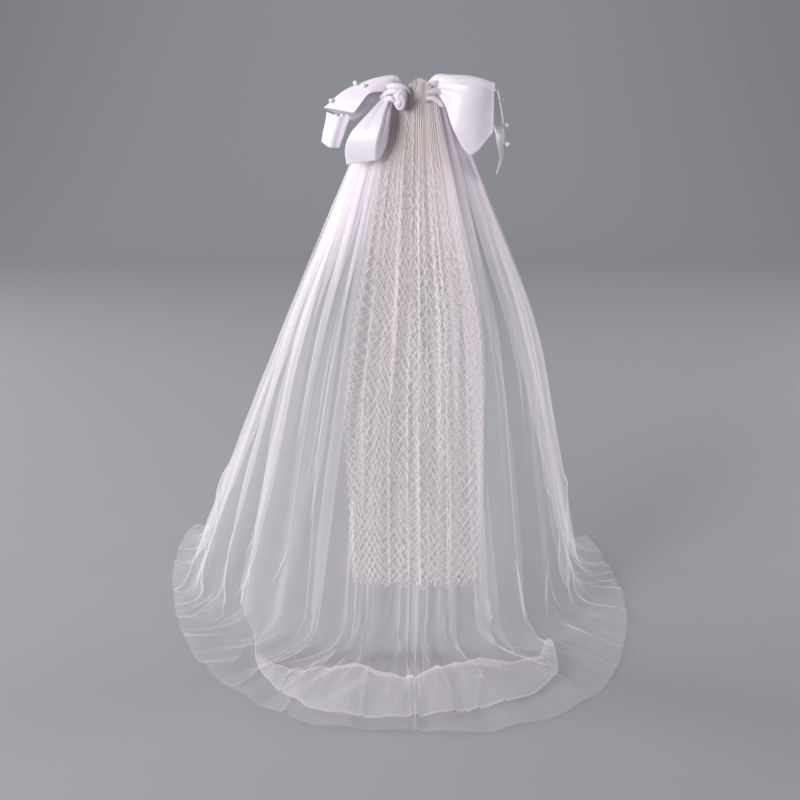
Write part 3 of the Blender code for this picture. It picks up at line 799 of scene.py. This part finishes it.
# %% Net panel
NET_HEAD = 0.026
NET_LENGTH = 0.640
NET_CORDS = 19
NET_JOINTS = 88
CORD_RADIUS = 0.31 * MM
NET_LIFT = 7.5  # mm that the lowest layer stands off the tiers
NET_STEP = 2.0  # mm from one layer to the next
HEAD_DOME = 0.55  # how much lower the head's sides are, as a share of its height
NET_SIDES = np.array(
    [
        # share of length, left heading, right heading
        (-0.04, -14.0, 34.0),
        (0.00, -36.0, 40.0),
        (0.15, -40.0, 45.0),
        (0.45, -41.0, 47.0),
        (0.65, -39.0, 43.0),
        (1.00, -27.0, 35.0),
    ]
)
net_laps = np.concatenate(
    [
        scatter_laps(0.03, 0.97, 9, (0.02, 0.035), (2.0, 2.8), (2.0, 4.0), (-0.6, -0.3), (0.8, 1.5)),
        scatter_laps(0.02, 0.98, 16, (0.008, 0.016), (1.6, 2.6), (1.5, 3.0), (-0.6, 0.3), (0.5, 1.2)),
    ]
)


def net_heading(across, run):
    """The heading at a share of the net's width, between its two sides at this run."""
    left, right = (np.interp(run / NET_LENGTH, NET_SIDES[:, 0], NET_SIDES[:, k]) for k in (1, 2))
    return left + across * (right - left)


def ridge_clearance(heading, place):
    """What the net needs to lie over the ridges of the tiers: half of a full fold and of the ridge."""
    reach = np.linalg.norm(place[..., :2], axis=-1)
    return 0.5 * (ridge_height(heading, reach, 0.0) + FOLD_SHARE * reach)


def net_place(across, down, layer):
    """Places of the net: across from 0 to 1 and down from the ruffled head to the cut edge, laid
    over the ridges of the tiers, with laps of its own. Its layers are pulled askew by sines, each
    its own way, so that their cells never line up."""
    slip = 0.018 * np.sin(13.0 * across + 2.0 * layer) + 0.010 * np.sin(31.0 * across + 5.0 * layer)
    skew = 0.05 * np.sin(5.5 * down + 3.0 * across + 2.6 * layer) + 0.02 * np.sin(17.0 * down + 7.0 * layer)
    edge = np.clip(8.0 * across * (1.0 - across), 0.0, 1.0)
    down = np.clip(down + slip * np.clip(6.0 * down * (1.0 - down), 0.0, 1.0), 0.0, 1.0)
    across = across + skew * edge * np.clip(3.0 * down, 0.0, 1.0)
    head = NET_HEAD * (1.0 - HEAD_DOME * (2.0 * across - 1.0) ** 2)
    run = -head + down * (head + NET_LENGTH)
    share = run / NET_LENGTH
    lift = np.zeros_like(across)
    shift = np.zeros_like(across)
    for middle, half, fold, depth, top, bottom, hand in net_laps:
        window = np.clip((share - top) / 0.25, 0, 1) * np.clip((bottom - share) / 0.4, 0, 1)
        s = (across - middle) / half
        shift = shift - fold * half * s * np.exp(-s * s) * window
        climb = 0.5 + 0.5 * np.tanh(2.5 * hand * s)
        lift = lift + depth * MM * climb * np.exp(-((s / 2) ** 2)) * window
    heading = net_heading(0.03 + (0.91 + 0.07 * down) * (across + shift), run)
    place, normal, _ = fall_point(heading, run)
    lift = lift + (NET_LIFT + NET_STEP * layer) * MM + ridge_clearance(heading, place)
    return place + normal * lift[..., None]


def cord_tubes(path, radius):
    """Square tubes along many paths at once: path is (cords, joints, 3). Each ring is set across
    the mean course of the two stretches that meet there; the ends are closed by four-sided caps."""
    course = np.gradient(path, axis=1)
    course /= np.linalg.norm(course, axis=-1, keepdims=True)
    out = np.array([0.0, -1.0, 0.0])
    side = np.cross(course, out)
    side /= np.linalg.norm(side, axis=-1, keepdims=True)
    face = np.cross(side, course)
    ring = np.stack([path + radius * away for away in (side, face, -side, -face)], axis=2)
    cords, joints = path.shape[:2]
    index = np.arange(cords * joints * 4).reshape(cords, joints, 4)
    around = np.roll(index, -1, axis=2)
    walls = np.stack([index[:, :-1], around[:, :-1], around[:, 1:], index[:, 1:]], axis=-1)
    walls = walls.reshape(-1, 4)
    caps = np.concatenate([index[:, 0, ::-1], index[:, -1]])
    return ring.reshape(-1, 3), np.concatenate([walls, caps])


def net_layer(layer, seed):
    """One layer of the net: two sets of cords that zigzag between each other's joints, with uneven
    cell widths and a ragged cut edge."""
    draw = np.random.default_rng(seed)
    joint = np.arange(NET_JOINTS)
    swing = 0.5 * (joint % 2)
    column = np.arange(NET_CORDS)[:, None]
    lane = np.concatenate([column + swing, column[1:] - swing])
    widths = np.concatenate([[0.0], np.cumsum(draw.uniform(0.75, 1.25, 2 * NET_CORDS))])
    lane = np.interp(lane * 2.0, np.arange(2 * NET_CORDS + 1), widths) / widths[2 * NET_CORDS - 1]
    ragged = draw.uniform(-1.6, 0.3, lane.shape[0])[:, None] * (joint / (NET_JOINTS - 1)) ** 40
    down = np.clip((joint + ragged) / (NET_JOINTS - 1), 0.0, 1.0)
    lane = lane + draw.normal(0.0, 0.0012, lane.shape)
    return net_place(np.clip(lane, 0.0, 1.0), down, layer)


paths = np.concatenate([net_layer(0.0, 3), net_layer(1.0, 4), net_layer(2.0, 5)])
points, faces = cord_tubes(paths, CORD_RADIUS)
steps = np.linalg.norm(np.diff(paths, axis=1), axis=-1)
lengths = np.concatenate([np.zeros((len(paths), 1)), np.cumsum(steps, axis=1)], axis=1)
cord_uv = np.stack([np.tile(np.arange(4) * 0.8 * MM, lengths.size), np.repeat(lengths.ravel(), 4)], axis=-1)
net = mesh_from("net_panel_cords", points, faces, cord_uv)
dress(net, netting, "net_panel")
print("net", len(faces), "quads, box", points.min(0), points.max(0))

# %% [markdown]
# Where the net is stitched to the comb its cords crowd into a soft, nearly solid bunch with a
# ruffled top. The bunch is a sheet of fine gathers over the cords that thins out downwards.

# %% Gathered head of the net
HEAD_DROP = 0.185  # how far down the gathers reach
HEAD_RUFFLES = 31
HEAD_LIFT = 15.0 * MM  # clear of the cords below
HEAD_PLEAT = 0.6 * MM


def make_head():
    """A pleated sheet over the head of the net: sine gathers of uneven depth, a wavy top edge."""
    rows, columns = 70, 420
    across, down = np.meshgrid(np.linspace(0, 1, columns), np.linspace(0, 1, rows))
    wave = 2 * np.pi * HEAD_RUFFLES * (across + 0.012 * np.sin(17.0 * across) * (1 + 2 * down))
    top = -(NET_HEAD + 4.0 * MM) * (1.0 - HEAD_DOME * (2.0 * across - 1.0) ** 2)
    top = top + 1.2 * MM * np.sin(0.5 * wave) + 0.8 * MM * np.sin(0.31 * wave + 1.0)
    run = top * (1.0 - down) + HEAD_DROP * down
    heading = net_heading(0.02 + 0.93 * across, run)
    place, normal, _ = fall_point(heading, run)
    depth = HEAD_PLEAT * (1.0 + 0.5 * np.sin(3.7 * across * 2 * np.pi)) * (1.0 - 0.5 * down)
    lift = HEAD_LIFT + ridge_clearance(heading, place) + depth * np.sin(wave)
    place = place + normal * lift[..., None]
    uv = np.stack([across * 0.2, down * (HEAD_DROP + NET_HEAD)], axis=-1)
    head = mesh_from("net_head_gathers", place, grid_faces(rows, columns), uv)
    dress(head, gathers)
    return head


head = make_head()
print("head", len(head.data.polygons), "faces")

# %% [markdown]
# ## The satin bow
#
# Each ribbon is lofted through a few sections, as the solids are, and then gets what satin has:
# small creases that run out of the gathered root, a rolled hem along both edges, and a real
# thickness. The sections are x, y and z from the comb as shares of the bow's reach.

# %% Ribbon sections
UPPER_LEFT_LOOP = (
    # front edge, ridge, back edge
    ((-0.128, -0.130, 0.045), (-0.066, -0.070, 0.098), (-0.125, -0.040, 0.052)),
    ((-0.157, -0.170, 0.060), (-0.099, -0.110, 0.138), (-0.157, -0.040, 0.045)),
    ((-0.228, -0.200, 0.055), (-0.193, -0.115, 0.129), (-0.215, -0.030, 0.010)),
    ((-0.269, -0.215, 0.014), (-0.286, -0.120, 0.098), (-0.255, -0.030, -0.045)),
    ((-0.302, -0.215, -0.030), (-0.375, -0.120, 0.058), (-0.318, -0.040, -0.100)),
    ((-0.322, -0.200, -0.044), (-0.475, -0.125, -0.026), (-0.360, -0.050, -0.085)),
)
LEFT_TAIL = (
    # outer edge, middle, inner edge
    ((-0.462, -0.130, -0.046), (-0.395, -0.190, -0.064), (-0.328, -0.190, -0.064)),
    ((-0.468, -0.128, -0.085), (-0.405, -0.182, -0.092), (-0.345, -0.182, -0.096)),
    ((-0.484, -0.112, -0.150), (-0.428, -0.165, -0.165), (-0.372, -0.160, -0.170)),
    ((-0.495, -0.100, -0.205), (-0.448, -0.150, -0.230), (-0.396, -0.145, -0.233)),
)
FRONT_LEFT_TAIL = (
    # outer edge, crease, inner edge
    ((-0.140, -0.165, 0.055), (-0.128, -0.185, 0.026), (-0.122, -0.175, -0.002)),
    ((-0.213, -0.205, -0.018), (-0.159, -0.230, -0.043), (-0.122, -0.205, -0.050)),
    ((-0.288, -0.225, -0.095), (-0.174, -0.255, -0.104), (-0.128, -0.220, -0.100)),
    ((-0.336, -0.230, -0.153), (-0.192, -0.262, -0.165), (-0.132, -0.224, -0.148)),
    ((-0.363, -0.222, -0.232), (-0.202, -0.255, -0.222), (-0.147, -0.222, -0.214)),
    ((-0.357, -0.205, -0.315), (-0.205, -0.232, -0.290), (-0.182, -0.224, -0.283)),
)
RIGHT_LOOP = (
    # lower front edge, crease, top, lower back edge
    ((0.086, -0.018, 0.050), (0.080, -0.024, 0.080), (0.076, -0.014, 0.100), (0.084, 0.010, 0.070)),
    ((0.126, -0.055, 0.038), (0.137, -0.080, 0.092), (0.123, -0.035, 0.140), (0.130, 0.015, 0.060)),
    ((0.168, -0.095, -0.020), (0.213, -0.125, 0.097), (0.200, -0.045, 0.139), (0.195, 0.025, 0.010)),
    ((0.214, -0.145, -0.145), (0.285, -0.145, 0.093), (0.275, -0.050, 0.136), (0.255, 0.025, -0.090)),
    ((0.306, -0.155, -0.270), (0.355, -0.140, 0.085), (0.350, -0.060, 0.123), (0.330, 0.020, -0.160)),
    ((0.425, -0.125, -0.152), (0.424, -0.115, 0.060), (0.430, -0.070, 0.097), (0.420, -0.010, -0.110)),
)
RIGHT_BACK_TAIL = (
    # front edge, middle, back edge: its top is tucked inside the loop
    ((0.412, -0.060, 0.045), (0.445, -0.030, 0.060), (0.438, 0.040, 0.060)),
    ((0.414, -0.064, -0.020), (0.462, -0.030, -0.010), (0.456, 0.045, -0.010)),
    ((0.424, -0.076, -0.120), (0.481, -0.030, -0.118), (0.474, 0.050, -0.110)),
    ((0.444, -0.090, -0.205), (0.488, -0.025, -0.228), (0.482, 0.050, -0.215)),
    ((0.466, -0.070, -0.300), (0.477, -0.010, -0.330), (0.478, 0.050, -0.300)),
    ((0.452, -0.020, -0.390), (0.456, 0.010, -0.392), (0.462, 0.040, -0.380)),
)
print("five ribbons of", len(UPPER_LEFT_LOOP), "sections or fewer")

# %% Ribbon surface
ROLLED_EDGE = 0.45 * MM  # how much the hems stand up
SATIN_THICK = 0.8 * MM


def hermite(knots, values, at):
    """A cubic through values at knots, along the first axis, read at one row of places."""
    slopes = np.gradient(values, knots, axis=0)
    k = np.clip(np.searchsorted(knots, at) - 1, 0, len(knots) - 2)
    span = (knots[k + 1] - knots[k]).reshape(-1, *[1] * (values.ndim - 1))
    s = ((at - knots[k]) / (knots[k + 1] - knots[k])).reshape(span.shape)
    ease = s * s * (3.0 - 2.0 * s)
    bend = s * (1.0 - s) ** 2 * slopes[k] - s * s * (1.0 - s) * slopes[k + 1]
    return values[k] * (1.0 - ease) + values[k + 1] * ease + bend * span


def ribbon_grid(sections, rows, columns, crisp):
    """Points of a ribbon on a grid: a cubic along it through the sections, and across it a mix of
    a cubic and of straight lines, which keeps a pressed crease crisp."""
    table = np.array(sections) * BOW_SPAN
    rails = hermite(np.linspace(0, 1, len(table)), table, np.linspace(0, 1, rows)).transpose(1, 0, 2)
    knots, at = np.linspace(0, 1, len(rails)), np.linspace(0, 1, columns)
    k = np.clip(np.searchsorted(knots, at) - 1, 0, len(knots) - 2)
    s = ((at - knots[k]) / (knots[k + 1] - knots[k]))[:, None, None]
    straight = rails[k] * (1.0 - s) + rails[k + 1] * s
    return (hermite(knots, rails, at) * (1.0 - crisp) + straight * crisp).transpose(1, 0, 2)


def grid_normals(points):
    """Unit normals of a grid of points."""
    normal = np.cross(np.gradient(points, axis=0), np.gradient(points, axis=1))
    return normal / np.maximum(np.linalg.norm(normal, axis=-1, keepdims=True), 1e-9)


def make_ribbon(node, sections, side, creases, crisp):
    """A satin ribbon: its lofted surface with creases that fade along it and a rolled edge."""
    rows, columns = 90, 73
    points = ribbon_grid(sections, rows, columns, crisp)
    normal = grid_normals(points) * side
    along, across = np.meshgrid(np.linspace(0, 1, rows), np.linspace(0, 1, columns), indexing="ij")
    height = np.zeros_like(along)
    for middle, half, depth, fade, slant in creases:
        beside = (across - middle - slant * along) / half
        height += depth * MM * np.exp(-(beside**2)) * np.exp(-along / fade)
    edge = np.minimum(across, 1.0 - across)
    height += ROLLED_EDGE * np.exp(-((edge / 0.02) ** 2))
    height += ROLLED_EDGE * np.exp(-(((1.0 - along) / 0.015) ** 2))
    points = points + normal * height[..., None]
    steps_down = np.linalg.norm(np.diff(points, axis=0), axis=-1)
    steps_side = np.linalg.norm(np.diff(points, axis=1), axis=-1)
    v = np.concatenate([np.zeros((1, columns)), np.cumsum(steps_down, axis=0)])
    u = np.concatenate([np.zeros((rows, 1)), np.cumsum(steps_side, axis=1)], axis=1)
    faces = grid_faces(rows, columns, side > 0)
    piece = mesh_from(node + "_satin", points, faces, np.stack([u, v], axis=-1))
    wall = piece.modifiers.new("thickness", "SOLIDIFY")
    wall.thickness = SATIN_THICK
    wall.offset = 0.0
    dress(piece, satin, node)
    area = (steps_down[:, :-1] * steps_side[:-1]).sum()
    print(node, "length", v[-1].mean(), "width", u[:, -1].mean(), "area about", area)


CREASES = {
    # middle, half width, depth in mm, how soon it fades, slant
    "upper_left_loop": (
        (0.16, 0.045, 1.8, 0.40, 0.12),
        (0.34, 0.05, 2.0, 0.35, 0.06),
        (0.60, 0.05, 2.0, 0.45, -0.06),
        (0.80, 0.05, 1.6, 0.40, -0.10),
    ),
    "left_tail": ((0.72, 0.14, 1.4, 2.0, 0.05),),
    "front_left_tail": ((0.22, 0.07, 1.8, 0.30, 0.12), (0.75, 0.06, 1.4, 0.40, -0.05)),
    "right_loop": (
        (0.10, 0.035, 2.2, 0.30, 0.14),
        (0.22, 0.04, 2.2, 0.35, 0.12),
        (0.42, 0.035, 1.8, 0.40, 0.10),
        (0.56, 0.04, 1.8, 0.35, 0.04),
    ),
    "right_back_tail": ((0.5, 0.15, 1.0, 2.0, 0.0),),
}
for node, sections, side, flat, crisp in (
    ("upper_left_loop", UPPER_LEFT_LOOP, -1, (0.055, 0.110), 0.4),
    ("left_tail", LEFT_TAIL, -1, (0.034, 0.042), 0.3),
    ("front_left_tail", FRONT_LEFT_TAIL, -1, (0.044, 0.085), 0.85),
    ("right_loop", RIGHT_LOOP, 1, (0.100, 0.095), 0.7),
    ("right_back_tail", RIGHT_BACK_TAIL, 1, (0.034, 0.110), 0.2),
):
    make_ribbon(node, sections, side, CREASES[node], crisp)

# %% [markdown]
# The left ribbons start in a gathered swirl, made by winding a short length of satin round itself
# and stitching it down. Its folds run over it as spirals, so its skin is an egg with ridges.

# %% Rosette
ROSETTE_PLACE = np.array((-0.074, -0.190, 0.024)) * BOW_SPAN
ROSETTE_HALF = np.array((0.037, 0.026, 0.054)) * BOW_SPAN


def barrel_angles(rings, sides, end):
    """Angles of the rings down from one pole to the other, end short of both, and round them."""
    lie = np.linspace(end, np.pi - end, rings)
    return np.meshgrid(lie, np.arange(sides) / sides * 2 * np.pi, indexing="ij")


def barrel_faces(rings, sides):
    """Quads of a closed barrel of rings with an even number of sides: its walls, and a cap of
    parallel strips on each end."""
    index = np.arange(rings * sides).reshape(rings, sides)
    after = np.roll(index, -1, axis=1)
    walls = np.stack([index[:-1], index[1:], after[1:], after[:-1]], axis=-1).reshape(-1, 4)
    k = np.arange(sides // 2 - 1)
    caps = [
        np.stack([ring[k], ring[k + 1], ring[sides - 2 - k], ring[sides - 1 - k]], axis=1)
        for ring in (index[0], index[-1, ::-1])
    ]
    return np.concatenate([walls, *caps])


def make_rosette():
    """The gathered swirl: an egg whose skin carries three spiral folds of satin."""
    rings, sides = 60, 128
    lie, spin = barrel_angles(rings, sides, 0.02)
    fold = np.abs(np.sin(1.5 * spin + 2.4 * lie)) ** 0.6
    swell = 0.80 + 0.26 * fold * np.sin(lie) ** 0.5
    round_part = np.stack([np.sin(lie) * np.cos(spin), -np.cos(lie), np.sin(lie) * np.sin(spin)], axis=-1)
    skin = ROSETTE_PLACE + ROSETTE_HALF * round_part * swell[..., None]
    uv = np.stack([spin * 0.01, lie * 0.01], axis=-1)
    rosette = mesh_from("bow_rosette_satin", skin, barrel_faces(rings, sides), uv)
    dress(rosette, satin, "bow_rosette")
    return rosette


rosette = make_rosette()
print("rosette", len(rosette.data.polygons), "faces")

# %% [markdown]
# The roots of the ribbons are pulled together in tight pleats about the knot. Each pleat is a
# plump roll that follows a curve through a few points and thins out at both ends.

# %% Knot pleats
KNOT_PLEATS = np.array(
    [
        # four points of each pleat: x, y, z from the comb in mm
        ((-41, -30, 14), (-29, -38, 21), (-14, -38, 19), (-4, -30, 12)),
        ((-43, -33, 6), (-32, -43, 14), (-20, -46, 15), (-9, -40, 8)),
        ((-44, -34, -3), (-36, -44, 4), (-29, -49, 7), (-23, -49, 2)),
        ((17, -22, 19), (24, -19, 22), (34, -14, 24), (46, -10, 25)),
        ((15, -25, 13), (23, -23, 14), (33, -18, 14), (45, -17, 12)),
        ((16, -26, 6), (24, -24, 5), (31, -22, 1), (38, -22, -6)),
    ]
)
PLEAT_FLATTEN = 0.7  # a pleat's depth as a share of its width
PLEAT_RADII = (4.2, 4.0, 3.6, 4.4, 4.6, 3.8)


def make_knot():
    """All pleats as one object: rings along each curve, as wide as a sine bulge times the radius."""
    rings, sides = 40, 20
    t = np.linspace(0.0, 1.0, rings)
    spin = np.arange(sides) / sides * 2 * np.pi
    skins, faces = [], []
    for k, (pleat, radius) in enumerate(zip(KNOT_PLEATS * MM, PLEAT_RADII)):
        path = hermite(np.linspace(0, 1, 4), pleat, t)
        course = np.gradient(path, axis=0)
        course /= np.linalg.norm(course, axis=-1, keepdims=True)
        side = np.cross(course, [0.0, -1.0, 0.0])
        side /= np.linalg.norm(side, axis=-1, keepdims=True)
        face = np.cross(side, course)
        bulge = radius * MM * np.sqrt(np.sin(np.pi * (0.03 + 0.94 * t)))[:, None, None]
        ring = np.cos(spin)[None, :, None] * side[:, None]
        ring = ring + PLEAT_FLATTEN * np.sin(spin)[None, :, None] * face[:, None]
        skin = path[:, None] + bulge * ring
        skins.append(skin.reshape(-1, 3))
        faces.append(barrel_faces(rings, sides) + k * rings * sides)
    points = np.concatenate(skins)
    knot = mesh_from("bow_knot_pleats", points, np.concatenate(faces), points[:, [0, 2]])
    dress(knot, satin)
    return knot


knot = make_knot()
print("knot", len(knot.data.polygons), "faces")

# %% [markdown]
# ## Pearls
#
# Each pearl is a round bead where its solid lies, held by a stitch of thread through its hole.
# A bead is small in the picture, so a few dozen faces round are enough.

# %% Pearls
def make_pearl(node):
    """A bead in the box of its solid, dimpled where the thread goes through."""
    low, high = (np.array(c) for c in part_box(node))
    middle, radius = 0.5 * (low + high), 0.5 * float((high - low).max())
    rings, sides = 20, 32
    lie, spin = barrel_angles(rings, sides, 0.03)
    ball = np.stack([np.sin(lie) * np.cos(spin), np.sin(lie) * np.sin(spin), np.cos(lie)], axis=-1)
    dimple = 1.0 - 0.06 * np.exp(-((np.sin(lie) / 0.16) ** 2))
    bead = mesh_from(node + "_bead", middle + radius * ball * dimple[..., None], barrel_faces(rings, sides))
    dress(bead, pearl, node)
    return bead


beads = [make_pearl(node) for node in sorted(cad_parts) if node.startswith("pearl_")]
print(len(beads), "pearls")

# %% [markdown]
# ## The comb
#
# The bow hides the comb, so it stays the plain solid of the frame and only gets its plastic.

# %% Comb finish
for slot in bpy.data.objects["hair_comb"].material_slots:
    slot.material = comb

# %% [markdown]
# ## Floor and light
#
# The floor is plain and pale. Sheer white cloth shows only where it is brighter than what is
# behind it, so the light comes in low from the front left and from both sides, past the floor and
# onto the cloth. A small light brings out the gloss of the bow, and a broad one evens the backdrop.

# %% Floor
FLOOR_HALF = 5.0
WALL_START = 2.4  # how far behind the veil the floor starts to sweep up
SWEEP = 1.6


def make_stage():
    """A floor just under the hem that sweeps up into a backdrop by a quarter circle."""
    turn = np.linspace(0.0, 0.5 * np.pi, 24)
    y = np.concatenate([[-FLOOR_HALF], WALL_START + SWEEP * np.sin(turn), [WALL_START + SWEEP]])
    z = np.concatenate([[0.0], SWEEP * (1.0 - np.cos(turn)), [FLOOR_HALF]])
    x = np.array([-FLOOR_HALF, FLOOR_HALF])
    rows = np.broadcast_to(np.stack([y, z], axis=-1)[:, None, :], (len(y), 2, 2))
    points = np.concatenate([np.broadcast_to(x[None, :, None], (len(y), 2, 1)), rows], axis=-1)
    points = points + np.array([0.0, 0.0, -HANG_DROP - 0.3 * MM])
    stage = mesh_from("studio_floor", points, grid_faces(len(y), 2, True))
    paint = one_shader(new_material("painted_floor_matte"), Base_Color=linear("#97989C"), Roughness=0.9)
    stage.data.materials.append(paint)


make_stage()
print("floor at", -HANG_DROP)

# %% Light
def add_light(name, at, aim, size, power):
    """A white square area light at a place, turned to face an aim; size in metres, power in watts."""
    data = bpy.data.lights.new(name, "AREA")
    data.size = size
    data.energy = power
    light = bpy.data.objects.new(name, data)
    away = np.array(at, float) - np.array(aim, float)
    flat = np.hypot(away[0], away[1])
    light.location = at
    light.rotation_euler = (np.arctan2(flat, away[2]), 0.0, np.arctan2(away[0], -away[1]))
    bpy.context.scene.collection.objects.link(light)


AIM = (0.0, 0.0, -0.35)  # the middle of the veil
for light in (
    ("key", (-2.2, -3.0, 0.7), AIM, 1.2, 110.0),
    ("left_rim", (-2.6, 1.0, 0.5), AIM, 0.8, 40.0),
    ("right_rim", (2.6, 0.9, 0.5), AIM, 0.8, 34.0),
    ("bow_light", (-0.95, -0.75, 0.45), (-0.03, 0.0, -0.02), 0.25, 3.6),
    ("backdrop_wash", (0.0, 1.2, 2.6), (0.0, 3.4, 0.0), 2.5, 40.0),
):
    add_light(*light)
world = bpy.data.worlds.new("studio")
world.use_nodes = True
world.node_tree.nodes["Background"].inputs[0].default_value = linear("#C9CBD0")
world.node_tree.nodes["Background"].inputs[1].default_value = 0.35
bpy.context.scene.world = world
bpy.context.scene.cycles.transparent_max_bounces = 64
bpy.context.scene.view_settings.view_transform = "Standard"
